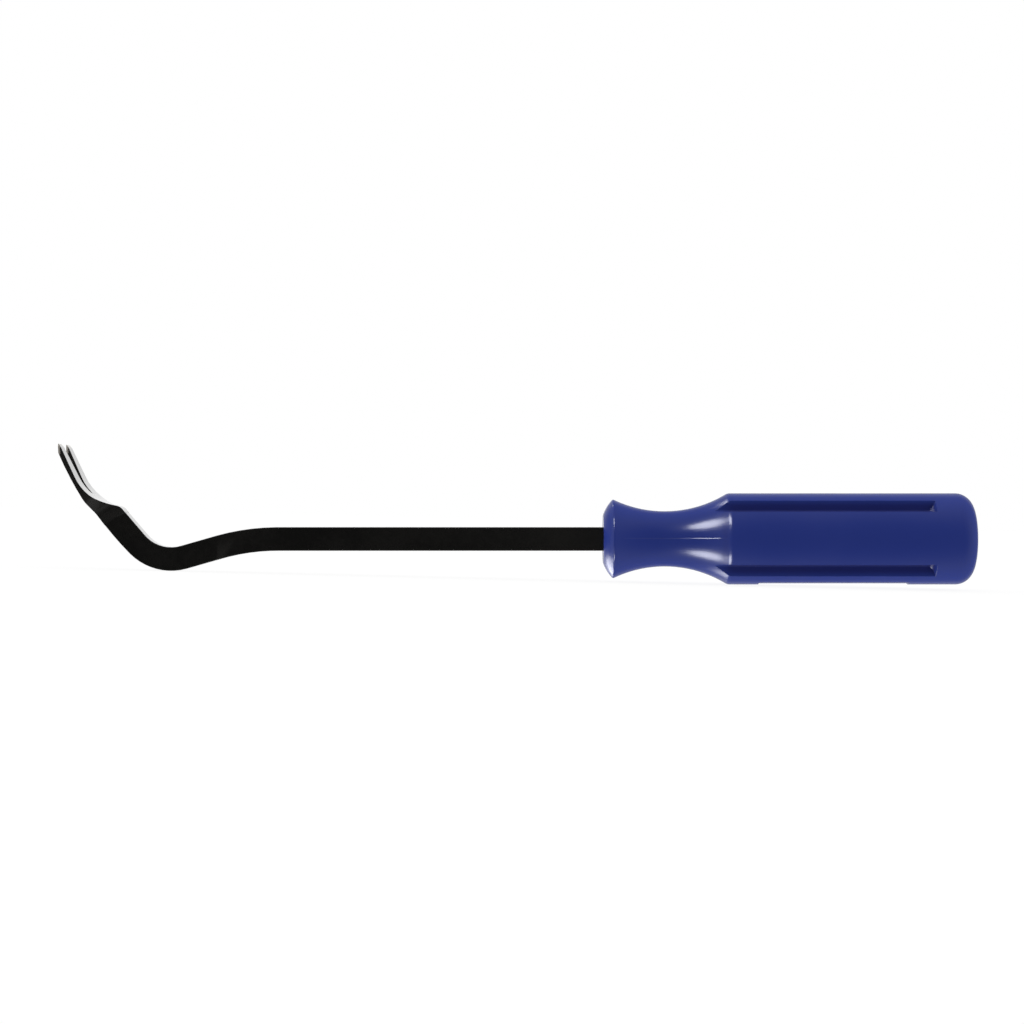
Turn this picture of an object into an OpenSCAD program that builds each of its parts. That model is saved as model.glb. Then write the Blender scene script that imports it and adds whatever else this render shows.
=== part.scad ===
/* [Bar] */
// Width and height of the square steel bar
bar = 8; // [6.7:0.1:9.6]
// Straight run of the bar from the handle to the crank bend
run_l = 110; // [60:1:160]
// Centreline radius of the crank bend, which turns the bar down
crank_r = 74; // [40:1:100]
// Angle that the crank bend turns through
crank_deg = 16; // [8:0.5:20]
// Straight ramp between the crank bend and the heel
ramp_l = 12; // [6:0.5:20]
// Centreline radius of the heel, which turns the bar up to the claw
heel_r = 15.7; // [12:0.1:20]

/* [Claw] */
// Slope of the outer face where the heel runs into the claw
claw_root_deg = 45.5; // [38:0.5:52]
// Slope of the inner face from the heel to the shoulder
neck_deg = 49.5; // [46:0.5:53]
// Slope of the outer face at the tip
claw_tip_deg = 68; // [63:0.5:76]
// Radius of the claw's outer face
claw_r = 112; // [93:1:135]
// Width across both prongs
claw_w = 22; // [18:0.5:27]
// Width across both prongs at the tip
claw_tip_w = 20; // [16:0.5:24]
// Thickness of the flattened blade
blade_t = 1.5; // [1.2:0.1:2]
// Length of the flat on the blade's inner face, back from the tip
blade_l = 12.5; // [10:0.5:15]
// Radius of the hollow between the blade and the shoulder
throat_r = 17; // [13:0.5:21]
// Slope of the ledge between the hollow and the shoulder
ledge_deg = 12; // [5:1:18]
// Rounding of the shoulder where the bar starts to thin
shoulder_r = 3.5; // [2:0.5:5]
// Distance from the tip to where the prongs are widest
flare_from = 21.5; // [18:0.5:25]
// Angle at which the prongs narrow to the bar
flare_deg = 55; // [45:1:70]
// Rounding at both ends of that narrowing
flare_r = 3; // [2:0.1:4]
// Radius at the outer corner of each prong
tip_corner_r = 1.8; // [1:0.1:4]

/* [Notch] */
// Width of the notch at the tip
notch_mouth = 9; // [7:0.5:11]
// Depth of the notch from the tip
notch_l = 19.5; // [15:0.5:22]
// Radius of the notch's root
notch_root_r = 1.25; // [0.8:0.05:1.8]
// Radius at the inner corner of each prong
notch_corner_r = 1.2; // [0.5:0.1:2]

/* [Ground edge] */
// Length of the bevel ground on the outer face
bevel_l = 3.2; // [2:0.1:4]
// Angle of that bevel to the blade
bevel_deg = 18; // [12:1:20]
// Length of the small bevel on the inner face
top_bevel_l = 1.2; // [0.6:0.1:1.6]
// Angle of the small bevel to the blade
top_bevel_deg = 13; // [8:1:15]

/* [Handle] */
// Length of the handle
handle_l = 126.4; // [105:0.1:155]
// Diameter of the grip
grip_d = 31; // [26:0.1:37]
// Diameter of the waist
waist_d = 18.8; // [16:0.1:22]
// Distance from the front face to the waist
waist_x = 20.9; // [17:0.1:24]
// Radius of the neck's hollow, from the rim to the grip
neck_r = 40; // [33:0.5:48]
// Distance from the front face to the rim round the nose
rim_x = 3.3; // [2.8:0.1:4.4]
// Diameter of the flat front face
nose_d = 16.4; // [15:0.1:19]
// Radius of the dome between the front face and the rim
nose_r = 14; // [8:0.5:20]
// Rounding of the rim
rim_r = 0.6; // [0.4:0.1:1.4]
// Rounding of the grip's front shoulder
grip_front_r = 3; // [1:0.5:4.5]
// Rounding of the grip's rear corner
grip_rear_r = 6; // [4:0.1:7]
// Radius of the domed rear end
dome_r = 55; // [40:1:80]

/* [Flutes] */
// Number of flutes round the grip
flutes = 4; // [3:1:6]
// Angle between the two flanks of a flute
flute_deg = 90; // [80:1:110]
// Depth of a flute below the grip
flute_depth = 2.6; // [2:0.1:3.2]
// Radius at the root of a flute
flute_root_r = 0.8; // [0.4:0.1:1.2]
// Distance from the front face to the rear end of the flutes
flute_end = 111.5; // [95:0.5:117]
// Radius that a flute's root rises through at its rear end
flute_end_r = 4; // [2:0.5:6]
// Turn of the handle on the bar
grip_turn_deg = 1.5; // [0:0.5:10]

/* [Panel] */
// Distance from the front face to the shallow panel in the lower land
panel_from = 52.5; // [48:0.5:60]
// Length of the panel
panel_l = 51; // [40:1:55]
// Width of the panel
panel_w = 10; // [6:0.5:12]
// Depth of the panel
panel_depth = 0.4; // [0.2:0.1:0.6]
// Radius at the corners of the panel
panel_corner_r = 1.5; // [0.5:0.1:3]

/* [Tang] */
// Width and height of the square tang, behind a shoulder that seats on the handle
tang = 6.6; // [5.5:0.1:6.6]
// Length of the tang inside the handle
tang_l = 75; // [60:1:90]
// Clearance between the tang and its socket on each side
tang_clear = 0.05; // [0:0.01:0.1]

/* [Hidden] */
$fn = 96;
// How far a cut reaches past the surface that it opens
OVER = 3;
// How much fuller a round is drawn, so that it crosses its neighbours
EASE = 0.004;

steel = "#1b1a18";
blue = "#24308f";

bar_r = bar / 2;
grip_r = grip_d / 2;

// The drawing frame has X along the bar, from the claw to the handle, with the
// origin on the axis at the handle's front face. Side views are drawn as [X, Z].

function unit(v) = v / norm(v);

// Unit vector along a face of the given slope, from the bar towards the tip, and the
// one square to it, from the outer side to the inner one.
function along(slope) = [-cos(slope), sin(slope)];
function inward(slope) = [sin(slope), cos(slope)];

// The point at distance r from c towards p
function towards(c, p, r) = c + r * unit(p - c);

// Where two circles meet, on the left of the line from c1 to c2
function circles_meet(c1, r1, c2, r2) =
    let (
        d = norm(c2 - c1),
        a = (d * d + r1 * r1 - r2 * r2) / (2 * d),
        u = (c2 - c1) / d
    )
    c1 + a * u + sqrt(r1 * r1 - a * a) * [-u[1], u[0]];

// Where a face of slope s through p meets one of slope t through q
function faces_meet(p, s, q, t) =
    p + along(s) * cross(q - p, along(t)) / cross(along(s), along(t));

// Point of a bent face where it has the given slope. r is positive on the inner side
// of the bend's centre and negative on its outer side.
function on_bend(c, r, slope) = c + r * inward(slope);

// Corner that a bent face would have without its bend, with the radius of its round
function bend_corner(c, r, from, to) =
    [on_bend(c, r / cos((to - from) / 2), (from + to) / 2), abs(r)];

// A corner of an outline that stays sharp
function sharp(p) = [p, 0];

// Corners followed by their mirror images, which closes a symmetric outline
function mirrored(corners) =
    concat(corners, [for (i = [len(corners) - 1:-1:0]) mirror_corner(corners[i])]);
function mirror_corner(k) = [[k[0][0], -k[0][1]], k[1]];

// The round of radius r in a corner at p, between legs towards a and b: its centre,
// and its two ends.
function half_angle(a, p, b) = acos(unit(a - p) * unit(b - p)) / 2;
function round_c(a, p, b, r) =
    p + r / sin(half_angle(a, p, b)) * unit(unit(a - p) + unit(b - p));
function round_end(a, p, b, r) = p + r / tan(half_angle(a, p, b)) * unit(a - p);

// An outline runs clockwise, so it turns right at an outward corner
function is_outward(a, p, b) = cross(p - a, b - p) < 0;

// Centres of the bar's bends, from the handle to the claw
crank_c = [-run_l, -crank_r];
crank_in_r = crank_r - bar_r;
crank_out_r = crank_r + bar_r;
heel_in_r = heel_r - bar_r;
heel_out_r = heel_r + bar_r;
ramp_start = on_bend(crank_c, crank_r, -crank_deg);
heel_c = on_bend(ramp_start + ramp_l * along(-crank_deg), heel_r, -crank_deg);
claw_c = on_bend(heel_c, claw_r - heel_out_r, claw_root_deg);
tip = on_bend(claw_c, -claw_r, claw_tip_deg);

// The blade's inner face is the chord of its curve, so both ends of it have the
// blade's thickness. The throat leaves it square to throat_c.
blade_deg = claw_tip_deg - blade_l / claw_r * 90 / PI;
tip_in = tip + blade_t * inward(claw_tip_deg);
throat_c = on_bend(tip_in - blade_l * along(blade_deg), throat_r, blade_deg);
shoulder = faces_meet(
    on_bend(throat_c, -throat_r, ledge_deg),
    ledge_deg,
    on_bend(heel_c, -heel_in_r, neck_deg),
    neck_deg
);

// The claw's plan is drawn square to its mean slope, as [distance from the tip, Y]
plan_deg = (claw_root_deg + claw_tip_deg) / 2;
claw_half_w = claw_w / 2;
flare_to = flare_from + (claw_half_w - bar_r) / tan(flare_deg);
notch_lean = asin((notch_mouth / 2 - notch_root_r) / (notch_l - notch_root_r));
notch_apex = notch_l - notch_root_r + notch_root_r / sin(notch_lean);
shank_l = tang_l - tip[0];

// The handle's section is drawn as [radius, X]
neck_c = [waist_d / 2 + neck_r, waist_x];
face_edge = [nose_d / 2, 0];
rim_corner = [neck_c[0] - sqrt(pow(neck_r, 2) - pow(waist_x - rim_x, 2)), rim_x];
nose_blank_r = rim_corner[0] + OVER;
nose_c = circles_meet(face_edge, nose_r, rim_corner, nose_r);
rim_c = circles_meet(neck_c, neck_r + rim_r, nose_c, nose_r - rim_r);
grip_corner = [grip_r, waist_x + sqrt(pow(neck_r, 2) - pow(neck_c[0] - grip_r, 2))];
grip_front_c = [
    grip_r - grip_front_r,
    waist_x + sqrt(pow(neck_r + grip_front_r, 2) - pow(neck_c[0] - grip_r + grip_front_r, 2))
];
dome_c = [0, handle_l - dome_r];
dome_corner = [grip_r, dome_c[1] + sqrt(pow(dome_r, 2) - pow(grip_r, 2))];
grip_rear_c = [
    grip_r - grip_rear_r,
    dome_c[1] + sqrt(pow(dome_r - grip_rear_r, 2) - pow(grip_r - grip_rear_r, 2))
];

// At rest the tool lies claw up, on the heel and on the grip's front shoulder, or on
// the nose's rim where that is the wider
function rest_turn(c, r) =
    let (span = [c[1], -c[0]] - heel_c)
    atan2(span[1], span[0]) + asin((heel_out_r - r) / norm(span));
rest_deg = min(rest_turn(grip_front_c, grip_front_r), rest_turn(rim_c, rim_r));
rest_lift = heel_out_r + EASE + heel_c[0] * sin(rest_deg) - heel_c[1] * cos(rest_deg);
rest_ends = (tip + tip_in) / 2 + [handle_l, 0];
rest_mid = (rest_ends[0] * cos(rest_deg) + rest_ends[1] * sin(rest_deg)) / 2;

// Turns the drawing frame into the rest pose, with the origin under the middle
module lay() {
    translate([-rest_mid, 0, rest_lift])
        rotate([0, rest_deg, 0])
            children();
}

// What lies outside the round of radius r about c, between its ends a and b. The
// point k is outside the corner that it rounds.
module corner_cut(c, r, a, k, b) {
    difference() {
        polygon([c, a, k, b]);
        translate(c)
            circle(r + EASE);
    }
}

// The part of a disc about c that hollows an inward corner at p, between legs
// towards a and b
module corner_hollow(a, p, b, r) {
    c = round_c(a, p, b, r);
    spread = r / 8;
    intersection() {
        translate(c)
            circle(r + EASE);
        polygon([
            c,
            c + 2 * (round_end(a, p, b, r) + spread * unit(a - p) - c),
            towards(c, p, 2 * r),
            c + 2 * (round_end(b, p, a, r) + spread * unit(b - p) - c)
        ]);
    }
}

// Closed outline through corners, each written as [point, radius of its round] and
// given clockwise
module outline(corners) {
    n = len(corners);
    p = [for (k = corners) k[0]];
    r = [for (k = corners) k[1]];
    function before(i) = p[(i + n - 1) % n];
    function after(i) = p[(i + 1) % n];
    difference() {
        polygon([
            for (i = [0:n - 1])
                each r[i] == 0 || is_outward(before(i), p[i], after(i))
                    ? [p[i]]
                    : [
                        round_end(before(i), p[i], after(i), r[i]),
                        round_end(after(i), p[i], before(i), r[i])
                    ]
        ]);
        for (i = [0:n - 1])
            if (r[i] > 0)
                if (is_outward(before(i), p[i], after(i)))
                    corner_cut(
                        round_c(before(i), p[i], after(i), r[i]),
                        r[i],
                        round_end(before(i), p[i], after(i), r[i]),
                        p[i] - OVER * unit(unit(before(i) - p[i]) + unit(after(i) - p[i])),
                        round_end(after(i), p[i], before(i), r[i])
                    );
                else
                    corner_hollow(before(i), p[i], after(i), r[i]);
    }
}

// Everything on one side of a line of the given slope through p: the outer side for
// side 1, the inner side for side -1
module grind(p, slope, side) {
    l = 2 * bevel_l;
    translate(p)
        rotate(180 - slope)
            translate([-l, side > 0 ? 0 : -l])
                square([2 * l, l]);
}

// Side view of the shank: along the lower side from the tang to the tip, and back
// along the upper side
module shank_side() {
    outer = bevel_l * sin(bevel_deg);
    inner = top_bevel_l * sin(top_bevel_deg);
    difference() {
        outline([
            sharp([tang_l, -bar_r]),
            bend_corner(crank_c, crank_in_r, -crank_deg, 0),
            bend_corner(heel_c, -heel_out_r, -crank_deg, claw_root_deg),
            bend_corner(claw_c, -claw_r, claw_root_deg, claw_tip_deg),
            sharp(tip),
            sharp(tip_in),
            bend_corner(throat_c, -throat_r, ledge_deg, blade_deg),
            [shoulder, shoulder_r],
            bend_corner(heel_c, -heel_in_r, -crank_deg, neck_deg),
            bend_corner(crank_c, crank_out_r, -crank_deg, 0),
            sharp([tang_l, bar_r])
        ]);
        grind(tip + outer * inward(claw_tip_deg), claw_tip_deg + bevel_deg, 1);
        grind(tip_in - inner * inward(claw_tip_deg), claw_tip_deg - top_bevel_deg, -1);
    }
}

// Plan of the shank: a V notch between two tapered prongs, which narrow to the bar
module shank_plan() {
    outline(concat(
        mirrored([
            [[0, notch_mouth / 2], notch_corner_r],
            [[0, claw_tip_w / 2], tip_corner_r],
            [[flare_from, claw_half_w], flare_r],
            [[flare_to, bar_r], flare_r],
            sharp([shank_l, bar_r])
        ]),
        [[[notch_apex, 0], notch_root_r]]
    ));
}

// What is taken off the bar all round to leave the tang
module tang_cut() {
    difference() {
        translate([0, -bar, -bar])
            cube([tang_l + OVER, 2 * bar, 2 * bar]);
        square_bar(tang, -OVER, tang_l + 2 * OVER);
    }
}

// Square bar of the given width along the axis, between two places on it
module square_bar(w, from, to) {
    translate([from, -w / 2, -w / 2])
        cube([to - from, w, w]);
}

// One forging: the side view and the plan are each cut right through it
module shank() {
    color(steel)
        lay()
            difference() {
                intersection() {
                    rotate([90, 0, 0])
                        linear_extrude(2 * claw_w, center = true)
                            shank_side();
                    translate([tip[0], 0, tip[1]])
                        rotate([0, plan_deg, 0])
                            linear_extrude(2 * shank_l, center = true)
                                shank_plan();
                }
                tang_cut();
            }
}

// Half section of the handle: nose, neck, grip and domed end. The neck's hollow is cut
// between a blank for the nose and one for the grip.
module handle_profile() {
    difference() {
        polygon([
            [0, 0],
            [nose_blank_r, 0],
            [nose_blank_r, waist_x],
            [grip_r, waist_x],
            [grip_r, handle_l + OVER],
            [0, handle_l + OVER]
        ]);
        translate(neck_c)
            circle(neck_r);
        nose_cut();
        corner_cut(
            rim_c,
            rim_r,
            towards(nose_c, rim_c, nose_r),
            towards(rim_c, rim_corner, 2 * rim_r),
            towards(rim_c, neck_c, rim_r)
        );
        corner_cut(
            grip_front_c,
            grip_front_r,
            towards(grip_front_c, neck_c, grip_front_r),
            towards(grip_front_c, grip_corner, 2 * grip_front_r),
            [grip_r, grip_front_c[1]]
        );
        dome_cut();
        corner_cut(
            grip_rear_c,
            grip_rear_r,
            [grip_r, grip_rear_c[1]],
            towards(grip_rear_c, dome_corner, 2 * grip_rear_r),
            towards(dome_c, grip_rear_c, dome_r)
        );
    }
}

// Leaves the dome between the flat front face and the rim
module nose_cut() {
    difference() {
        polygon([
            nose_c,
            towards(nose_c, face_edge, nose_r + OVER),
            [nose_blank_r + OVER, -OVER],
            [nose_blank_r + OVER, nose_c[1]]
        ]);
        translate(nose_c)
            circle(nose_r + EASE);
    }
}

module dome_cut() {
    translate(dome_c)
        difference() {
            square([grip_r + OVER, dome_r + 2 * OVER]);
            circle(dome_r);
        }
}

// A flute runs open into the neck and rises through a round at its rear end. It is the
// part of a square groove, cut along the grip, that lies in a slot cut across it.
module flute() {
    root = grip_r - flute_depth;
    corner = root - flute_root_r * (1 / sin(flute_deg / 2) - 1);
    top = grip_r + OVER;
    flank = (top - corner) * tan(flute_deg / 2);
    rise = flute_root_r / 2;
    intersection() {
        translate([0, 0, waist_x])
            linear_extrude(handle_l)
                outline([[[corner, 0], flute_root_r], sharp([top, flank]), sharp([top, -flank])]);
        rotate([90, 0, 0])
            linear_extrude(grip_d, center = true)
                outline([
                    sharp([root - rise, 0]),
                    [[root - rise, flute_end], flute_end_r],
                    sharp([top + rise, flute_end]),
                    sharp([top + rise, 0])
                ]);
    }
}

// Shallow panel in the lower land, with a floor that follows the grip's curve
module panel() {
    w = panel_w / 2;
    l = panel_l / 2;
    translate([0, 0, panel_from + l])
        difference() {
            rotate([90, 0, 90])
                linear_extrude(grip_d)
                    outline([for (p = [[-w, -l], [-w, l], [w, l], [w, -l]]) [p, panel_corner_r]]);
            cylinder(h = 2 * panel_l, r = grip_r - panel_depth, center = true);
        }
}

module handle() {
    color(blue)
        lay()
            difference() {
                rotate([-grip_turn_deg, 0, 0])
                    rotate([0, 90, 0])
                        difference() {
                            rotate_extrude()
                                handle_profile();
                            for (i = [0:flutes - 1])
                                rotate((i + 0.5) * 360 / flutes)
                                    flute();
                            panel();
                        }
                square_bar(tang + 2 * tang_clear, -OVER, tang_l + tang_clear);
            }
}

shank();
handle();
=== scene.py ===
"""Looks of the trim removal tool: materials, rounded steel edges, studio and camera.

Points and the studio are in metres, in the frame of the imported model. Sizes of the tool
are in millimetres, as in the part's source, and MM or mm() turns them to metres.
"""

import math

import bmesh
import bpy
from mathutils import Matrix, Vector


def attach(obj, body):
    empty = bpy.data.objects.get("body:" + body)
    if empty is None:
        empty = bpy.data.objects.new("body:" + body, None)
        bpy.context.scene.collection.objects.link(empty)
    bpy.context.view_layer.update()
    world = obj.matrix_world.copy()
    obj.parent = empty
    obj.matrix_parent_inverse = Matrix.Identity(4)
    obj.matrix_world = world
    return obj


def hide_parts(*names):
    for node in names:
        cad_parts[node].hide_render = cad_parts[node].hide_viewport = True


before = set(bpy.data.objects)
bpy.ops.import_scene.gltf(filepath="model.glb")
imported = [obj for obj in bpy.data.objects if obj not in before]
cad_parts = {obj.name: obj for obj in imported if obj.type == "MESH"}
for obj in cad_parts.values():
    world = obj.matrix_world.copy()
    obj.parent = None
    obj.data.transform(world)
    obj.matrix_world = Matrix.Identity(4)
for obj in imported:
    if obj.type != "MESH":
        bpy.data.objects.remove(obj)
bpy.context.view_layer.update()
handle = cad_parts["handle"]
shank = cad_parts["shank"]

MM = 0.001

# The tool rests with its axis tilted. The bar's top is the shank's largest face that
# looks up: UP is square to it, AXIS runs along it, and ACROSS points away from the
# camera. BAR_R is half the bar's side.
bar_top = max((p for p in shank.data.polygons if p.normal.z > 0.9), key=lambda p: p.area)
ACROSS = Vector((0, 1, 0))
UP = Vector((bar_top.normal.x, 0, bar_top.normal.z)).normalized()
AXIS = ACROSS.cross(UP)
BAR_R = max(abs(shank.data.vertices[i].co.y) for i in bar_top.vertices)

# Where the axis meets the handle's front face
NOSE_ALONG = min(vert.co.dot(AXIS) for vert in handle.data.vertices)
NOSE = NOSE_ALONG * AXIS + (bar_top.center.dot(UP) - BAR_R) * UP


def mm(*lengths):
    """The same lengths in metres."""
    return tuple(length * MM for length in lengths)


def on_tool(along, up, across=0.0):
    """The point so many mm along the axis from the handle's front, above and behind it."""
    return NOSE + (along * AXIS + up * UP + across * ACROSS) * MM


# As in the CAD, the neck's hollow has the radius NECK_R and leaves WAIST_D at its
# narrowest, WAIST_X behind the front face. The handle is turned on its bar by GRIP_TURN.
WAIST_D = 18.8
WAIST_X = 20.9
NECK_R = 40
GRIP_TURN = math.radians(1.5)

# The claw's outer tip before it is ground, and the direction from it down the neck
TIP = on_tool(-184.27, 31.66)
ALONG_NECK = Vector((0.5483, 0, -0.8363))

# The rounding of the bar's corners ends ROUND_TO down the neck, where the neck spreads
# to the claw, and two cuts ROUND_HOLD apart hold it there. BAR_CUTS are the places along
# the axis where cuts keep the bar's faces small.
ROUND_R = 0.5
ROUND_STEPS = 4
ROUND_TO = 31.5
ROUND_HOLD = 1.0
BAR_CUTS = (-55, -109, -131, -142)

# How near points are to be welded, to lie on a cut and to count as level
WELD = 0.002
ON_CUT = 0.001
NEAR = 0.01

# Faces that meet at less than FLAT become one. A corner of the bar is sharper than
# CORNER, and shading is smooth where faces meet at less than SMOOTH.
FLAT = math.radians(0.4)
CORNER = math.radians(40)
SMOOTH = math.radians(35)

WHITE = (1, 1, 1, 1)
BLUE = (0.026, 0.048, 0.29)
# Lighter blue for the handle's edges, partly wear and partly a painted highlight
BLUE_WEAR_AND_HIGHLIGHT = (0.10, 0.13, 0.36)
# Painted shade for the flutes of the handle
BLUE_FLUTE_SHADE = (0.012, 0.007, 0.085)
BLACK = (0.0062, 0.0058, 0.0052)
BLACK_RUBBED = (0.05, 0.048, 0.045)
BARE = (0.50, 0.46, 0.41)

# The camera looks square at the bar, with the bar level in the picture
CAMERA_AT = on_tool(-30.94, 9.13, -782)
LENS = 80.9
SENSOR = 36

FLOOR_HALF = 6

# The lamps point at LAMPS_AIM, near the rear end of the neck, from LAMP_DISTANCE away.
# Each has its name, the direction to it, its width and height, and its power in watts.
LAMPS_AIM = NOSE + 35 * MM * AXIS
LAMP_DISTANCE = 1.2
LAMPS = (
    ("upper_lamp", (-0.53, -0.52, 0.67), (0.70, 0.46), 12),
    ("lower_lamp", (-0.47, -0.45, -0.76), (0.66, 0.44), 12),
    ("rear_lamp", (-0.60, 0.60, -0.50), (0.90, 0.60), 8),
    ("low_rear_lamp", (-0.476, 0.451, -0.756), (0.46, 0.40), 2.8),
    ("high_rear_lamp", (-0.466, 0.549, 0.694), (0.16, 0.30), 1.2),
)


def rgba(colour):
    return (*colour, 1)


class Nodes:
    """A node tree that is written as nested calls, which take numbers or sockets."""

    def __init__(self, tree):
        self.tree = tree
        tree.nodes.clear()

    def add(self, kind, inputs=None, **settings):
        """A new node of that kind, with its inputs fed by name."""
        node = self.tree.nodes.new("ShaderNode" + kind)
        for name, value in settings.items():
            setattr(node, name, value)
        for name, value in (inputs or {}).items():
            self.feed(node.inputs[name], value)
        return node

    def feed(self, socket, value):
        """Links an output to the socket, or sets the socket's value."""
        if isinstance(value, bpy.types.NodeSocket):
            self.tree.links.new(value, socket)
        else:
            socket.default_value = value

    def math(self, operation, *values):
        node = self.add("Math", operation=operation)
        for socket, value in zip(node.inputs, values):
            self.feed(socket, value)
        return node.outputs[0]

    def plus(self, a, b):
        return self.math("ADD", a, b)

    def minus(self, a, b):
        return self.math("SUBTRACT", a, b)

    def times(self, a, b):
        return self.math("MULTIPLY", a, b)

    def larger(self, a, b):
        return self.math("MAXIMUM", a, b)

    def dot(self, vector, direction):
        node = self.add("VectorMath", operation="DOT_PRODUCT")
        self.feed(node.inputs[0], vector)
        self.feed(node.inputs[1], tuple(direction))
        return node.outputs["Value"]

    def ramp(self, value, span, to=(0.0, 1.0)):
        """Goes smoothly from one end of to to the other while the value crosses the span."""
        node = self.add(
            "MapRange",
            {
                "Value": value,
                "From Min": span[0],
                "From Max": span[1],
                "To Min": to[0],
                "To Max": to[1],
            },
            interpolation_type="SMOOTHSTEP",
        )
        return node.outputs["Result"]

    def noise(self, place, scale, detail, roughness=0.55):
        """Noise with so many cells a metre."""
        node = self.add(
            "TexNoise",
            {"Vector": place, "Scale": scale, "Detail": detail, "Roughness": roughness},
        )
        return node.outputs["Fac"]

    def pointiness(self):
        """How far an edge stands out, with 0.5 on a flat face."""
        return self.add("NewGeometry").outputs["Pointiness"]

    def mix(self, factor, a, b, data_type="RGBA"):
        node = self.add("Mix", {"Factor": factor, "A": a, "B": b}, data_type=data_type)
        return node.outputs["Result"]

    def tones(self, factor, colour, darkest, lightest):
        """The colour times a number from darkest to lightest, by the factor."""
        dark, light = (rgba([share * c for c in colour]) for share in (darkest, lightest))
        return self.mix(factor, dark, light)

    def bump(self, height, distance, strength, normal=None):
        node = self.add("Bump", {"Height": height, "Distance": distance, "Strength": strength})
        if normal is not None:
            self.feed(node.inputs["Normal"], normal)
        return node.outputs["Normal"]

    def mix_shaders(self, factor, a, b):
        node = self.add("MixShader", {"Fac": factor})
        self.feed(node.inputs[1], a.outputs[0])
        self.feed(node.inputs[2], b.outputs[0])
        return node

    def output(self, shader, kind="OutputMaterial"):
        self.add(kind, {"Surface": shader.outputs[0]})


def material(name):
    made = bpy.data.materials.new(name)
    made.use_nodes = True
    return made, Nodes(made.node_tree)


def blue_plastic(name, grain, edge=None):
    """Glossy moulded plastic, with painted shade that deepens its colour in the flutes.

    Its fine texture has the strength grain. Where a radius edge is given, its corners
    are shaded as if they were rounded by it.
    """
    made, n = material(name)
    place = n.add("TexCoord").outputs["Object"]
    cloud = n.noise(place, scale=45, detail=2)
    speck = n.noise(place, scale=900, detail=2)
    scuff = n.ramp(n.noise(place, scale=260, detail=6, roughness=0.7), (0.62, 0.74))
    worn = n.ramp(n.pointiness(), (0.53, 0.60))
    along = n.minus(n.dot(place, AXIS), NOSE.dot(AXIS))
    height = n.minus(n.dot(place, UP), NOSE.dot(UP))
    width = n.dot(place, ACROSS)
    radius = n.math("SQRT", n.plus(n.times(height, height), n.times(width, width)))
    # The flutes begin and end over these spans along the axis, and the painted shade in them
    # deepens over this span of radius
    begin, end, below = mm(38, 44), mm(110, 112), mm(14.0, 15.4)
    on_grip = n.times(n.ramp(along, begin), n.ramp(along, end, (1.0, 0.0)))
    # sunk is how much painted shade darkens the flutes, deeper nearer the axis
    sunk = n.times(on_grip, n.ramp(radius, below, (0.45, 0.0)))
    even = n.tones(cloud, BLUE, 0.95, 1.05)
    # Sharp edges lighten a little, partly as wear and partly as a painted highlight
    rubbed = n.mix(n.times(worn, 0.10), even, rgba(BLUE_WEAR_AND_HIGHLIGHT))
    colour = n.mix(sunk, rubbed, rgba(BLUE_FLUTE_SHADE))
    roughness = n.plus(n.ramp(cloud, (0.35, 0.65), (0.20, 0.25)), n.times(scuff, 0.05))
    softened = None
    if edge:
        softened = n.add("Bevel", {"Radius": edge}, samples=6).outputs["Normal"]
    shader = n.add(
        "BsdfPrincipled",
        {
            "Base Color": colour,
            "Roughness": roughness,
            "IOR": 1.49,
            "Normal": n.bump(speck, 0.004 * MM, grain, softened),
        },
    )
    n.output(shader)
    return made


def black_steel():
    """Black oxide on forged steel, bare where the tip is ground to an edge."""
    made, n = material("black_steel")
    place = n.add("TexCoord").outputs["Object"]
    cloud = n.noise(place, scale=60, detail=3)
    forged = n.noise(place, scale=520, detail=5, roughness=0.65)
    worn = n.ramp(n.pointiness(), (0.53, 0.62))
    # Bare metal fades out over these spans, down from the tip and in from it. The last
    # value is the width over which its border strays.
    fade_down, fade_in, raggedness = mm(2.8, 3.3), mm(1.5, 1.9), 1.0 * MM
    down = n.minus(TIP.z, n.dot(place, (0, 0, 1)))
    inward = n.minus(n.dot(place, (1, 0, 0)), TIP.x)
    ragged = n.times(n.minus(n.noise(place, scale=700, detail=2), 0.5), raggedness)
    near_tip = n.ramp(n.plus(down, ragged), fade_down, (1.0, 0.0))
    near_face = n.ramp(n.plus(inward, ragged), fade_in, (1.0, 0.0))
    bare = n.times(near_tip, near_face)
    mottle = n.ramp(n.plus(n.times(cloud, 0.6), n.times(forged, 0.4)), (0.38, 0.62))
    coat = n.tones(mottle, BLACK, 0.7, 1.4)
    rubbed = n.mix(n.times(worn, 0.25), coat, rgba(BLACK_RUBBED))
    shader = n.add(
        "BsdfPrincipled",
        {
            "Base Color": n.mix(bare, rubbed, rgba(BARE)),
            "Metallic": n.times(bare, 0.2),
            "Roughness": n.plus(n.ramp(forged, (0.3, 0.7), (0.14, 0.20)), n.times(bare, 0.15)),
            "Coat Weight": 1.0,
            "Coat Roughness": 0.10,
            "Normal": n.bump(forged, 0.004 * MM, 0.4),
        },
    )
    n.output(shader)
    return made


def floor_white():
    """White that the camera sees as lit almost evenly, with a faint shadow."""
    made, n = material("floor_white")
    seen = n.add("LightPath").outputs["Is Camera Ray"]
    lit = n.add("BsdfDiffuse", {"Color": WHITE})
    glow = n.add("Emission", {"Color": WHITE, "Strength": 1.0})
    n.output(n.mix_shaders(n.times(seen, 0.90), lit, glow))
    return made


def add_object(name, data):
    made = bpy.data.objects.new(name, data)
    bpy.context.scene.collection.objects.link(made)
    return made


def add_piece(name, bm, look):
    """A piece of the tool made of the given mesh, shaded smooth but for its edges."""
    mesh = bpy.data.meshes.new(name)
    bm.to_mesh(mesh)
    bm.free()
    made = add_object(name, mesh)
    mesh.materials.append(look)
    for polygon in mesh.polygons:
        polygon.use_smooth = True
    mesh.set_sharp_from_angle(angle=SMOOTH)
    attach(made, "root")
    return made


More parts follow.
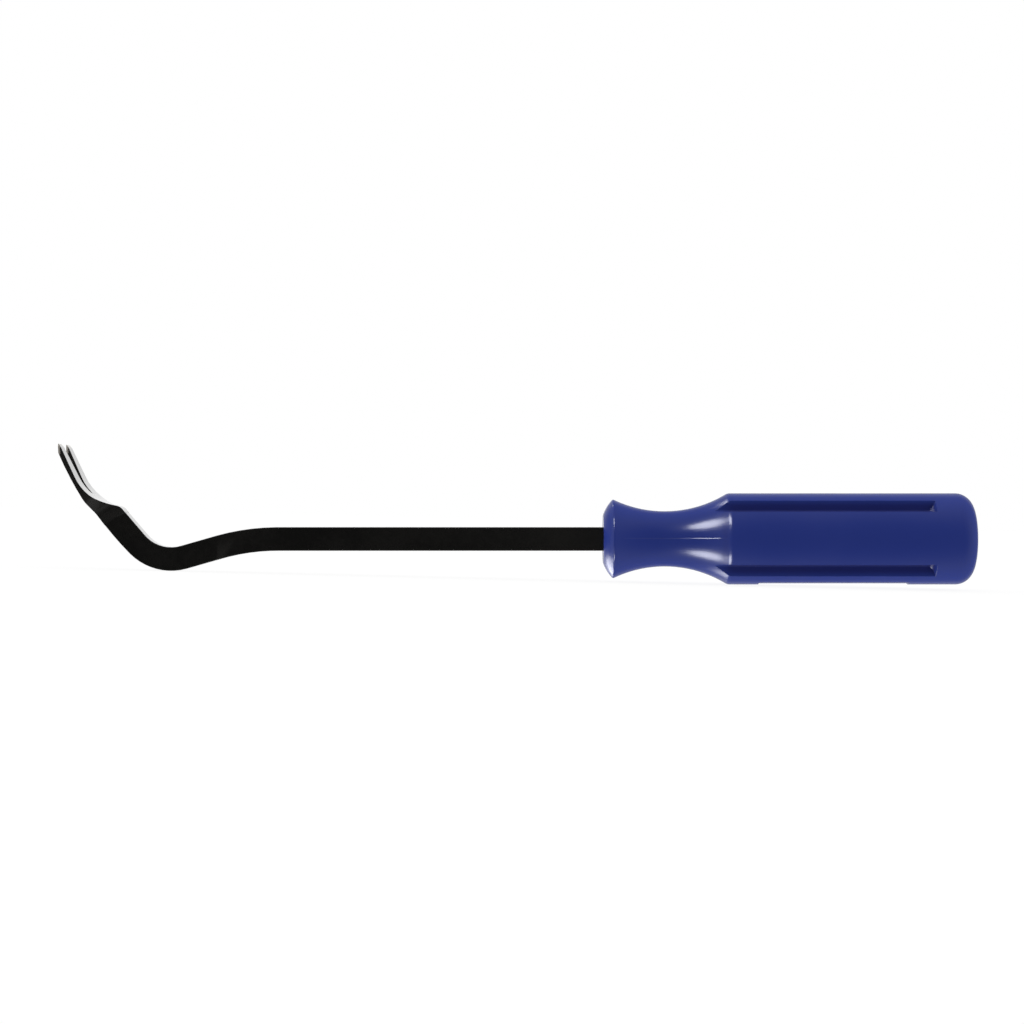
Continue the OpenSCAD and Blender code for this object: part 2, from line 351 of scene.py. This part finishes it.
def cut_across(bm, point, normal):
    """Splits what the plane through the point crosses."""
    bmesh.ops.bisect_plane(
        bm,
        geom=bm.verts[:] + bm.edges[:] + bm.faces[:],
        plane_co=point,
        plane_no=normal,
        dist=ON_CUT * MM,
    )


def is_bar_corner(edge):
    """Whether the edge runs along a corner of the bar that is to be rounded."""
    if len(edge.link_faces) != 2 or edge.calc_face_angle(0) < CORNER:
        return False
    a, b = (vert.co for vert in edge.verts)
    on_sides = all(abs(abs(p.y) - BAR_R) <= NEAR * MM for p in (a, b))
    level = abs(a.y - b.y) <= NEAR * MM
    outside = any((p - NOSE).dot(AXIS) <= -NEAR * MM for p in (a, b))
    below_claw = all((p - TIP).dot(ALONG_NECK) > (ROUND_TO - NEAR) * MM for p in (a, b))
    return on_sides and level and outside and below_claw


def rounded_shank():
    """The CAD shank with the corners of its bar rounded, as rolled bar has them."""
    bm = bmesh.new()
    bm.from_mesh(shank.data)
    bmesh.ops.remove_doubles(bm, verts=bm.verts[:], dist=WELD * MM)
    bmesh.ops.dissolve_limit(bm, angle_limit=FLAT, verts=bm.verts[:], edges=bm.edges[:])
    for along in BAR_CUTS:
        cut_across(bm, on_tool(along, 0), AXIS)
    # These two cuts hold the end of the rounding
    for back in (ROUND_TO, ROUND_TO - ROUND_HOLD):
        cut_across(bm, TIP + back * MM * ALONG_NECK, ALONG_NECK)
    bmesh.ops.bevel(
        bm,
        geom=[edge for edge in bm.edges if is_bar_corner(edge)],
        offset=ROUND_R * MM,
        offset_type="OFFSET",
        segments=ROUND_STEPS,
        profile=0.5,
        affect="EDGES",
        clamp_overlap=False,
    )
    made = add_piece("forged_bar", bm, black_steel())
    even = made.modifiers.new("even_shading", "WEIGHTED_NORMAL")
    even.keep_sharp = True
    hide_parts("shank")


def parting_lines():
    """The fine ridges that the mould's two halves leave along both sides of the neck."""
    first, last, steps = 6.0, 41.0, 60
    height, half_width, sunk = 0.055, 0.17, 0.02
    # Each ridge starts and ends with the share least of its height, and is full within
    # rise of its ends
    least, rise = 0.05, 3
    bm = bmesh.new()
    for side in (-1, 1):
        out = side * (math.cos(GRIP_TURN) * ACROSS - math.sin(GRIP_TURN) * UP)
        across = AXIS.cross(out)
        rings = []
        for i in range(steps + 1):
            x = first + (last - first) * i / steps
            radius = WAIST_D / 2 + NECK_R - math.sqrt(NECK_R**2 - (x - WAIST_X) ** 2)
            full = min(1.0, least + (x - first) / rise, least + (last - x) / rise)
            on_axis = NOSE + x * MM * AXIS
            foot = on_axis + (radius - sunk) * MM * out
            rings.append([
                bm.verts.new(on_axis + (radius + height * full) * MM * out),
                bm.verts.new(foot + half_width * MM * across),
                bm.verts.new(foot - half_width * MM * across),
            ])
        for a, b in zip(rings, rings[1:]):
            for j in range(3):
                k = (j + 1) % 3
                bm.faces.new((a[j], a[k], b[k], b[j]))
        bm.faces.new(rings[0])
        bm.faces.new(rings[-1])
    bmesh.ops.recalc_face_normals(bm, faces=bm.faces[:])
    return add_piece("parting_lines", bm, blue_plastic("blue_plastic_ridge", 0.1))


def highlight_lamp(name, towards, size, power, lit):
    """A softbox that only the gloss of the lit pieces shows. The world lights the colours."""
    data = bpy.data.lights.new(name, "AREA")
    data.shape = "ELLIPSE"
    data.size, data.size_y = size
    data.energy = power
    made = add_object(name, data)
    direction = Vector(towards).normalized()
    made.location = LAMPS_AIM + direction * LAMP_DISTANCE
    made.rotation_mode = "QUATERNION"
    made.rotation_quaternion = direction.to_track_quat("Z", "Y")
    made.visible_camera = False
    made.visible_diffuse = False
    made.light_linking.receiver_collection = lit


def add_floor():
    """A white floor that only the camera sees."""
    floor = bpy.data.meshes.new("floor")
    far = FLOOR_HALF
    corners = [(-far, -far, 0), (far, -far, 0), (far, far, 0), (-far, far, 0)]
    floor.from_pydata(corners, [], [(0, 1, 2, 3)])
    floor.materials.append(floor_white())
    floor = add_object("floor", floor)
    floor.visible_shadow = False
    floor.visible_glossy = False
    floor.visible_diffuse = False


def add_world():
    """White to the camera, a soft light to colours and a dim room to gloss."""
    world = bpy.data.worlds.new("studio")
    bpy.context.scene.world = world
    world.use_nodes = True
    n = Nodes(world.node_tree)
    ray = n.add("LightPath").outputs
    direction = n.add("TexCoord").outputs["Generated"]
    behind = n.dot(direction, ACROSS)
    # The light on colours is even but for a darker side towards the camera
    front = n.ramp(behind, (-0.85, -0.30), (0.12, 1.35))
    soft = n.times(front, n.ramp(behind, (0.2, 0.9), (1.0, 0.7)))
    # Gloss shows the room, the white backdrop behind the tool and a card low behind its
    # claw
    rear = n.ramp(behind, (0.55, 0.95), (0.13, 0.45))
    room = n.times(rear, n.ramp(behind, (-0.8, -0.2), (0.25, 1.0)))
    backdrop = n.ramp(behind, (0.94, 0.98))
    to_card = Vector((-0.42, 0.82, -0.40)).normalized()
    card = n.ramp(n.dot(direction, to_card), (0.94, 0.975))
    room = n.larger(room, n.larger(backdrop, card))
    level = n.mix(ray["Is Glossy Ray"], soft, room, "FLOAT")
    light = n.add("Background", {"Color": WHITE, "Strength": level})
    white = n.add("Background", {"Color": WHITE, "Strength": 1.0})
    n.output(n.mix_shaders(ray["Is Camera Ray"], light, white), "OutputWorld")


def add_camera():
    data = bpy.data.cameras.new("camera")
    data.lens = LENS
    data.sensor_width = SENSOR
    data.clip_start = 0.01
    data.clip_end = 50
    made = add_object("camera", data)
    turn = Matrix((AXIS, UP, AXIS.cross(UP))).transposed()
    made.matrix_world = Matrix.Translation(CAMERA_AT) @ turn.to_4x4()
    bpy.context.scene.camera = made


add_camera()
add_floor()
add_world()

rounded_shank()
handle.data.materials.clear()
handle.data.materials.append(blue_plastic("blue_plastic", 0.5, 0.35 * MM))
parting = parting_lines()

grip = bpy.data.collections.new("lit_grip")
grip.objects.link(handle)
grip.objects.link(parting)
for lamp in LAMPS:
    highlight_lamp(*lamp, grip)

bpy.context.scene.view_settings.view_transform = "Standard"
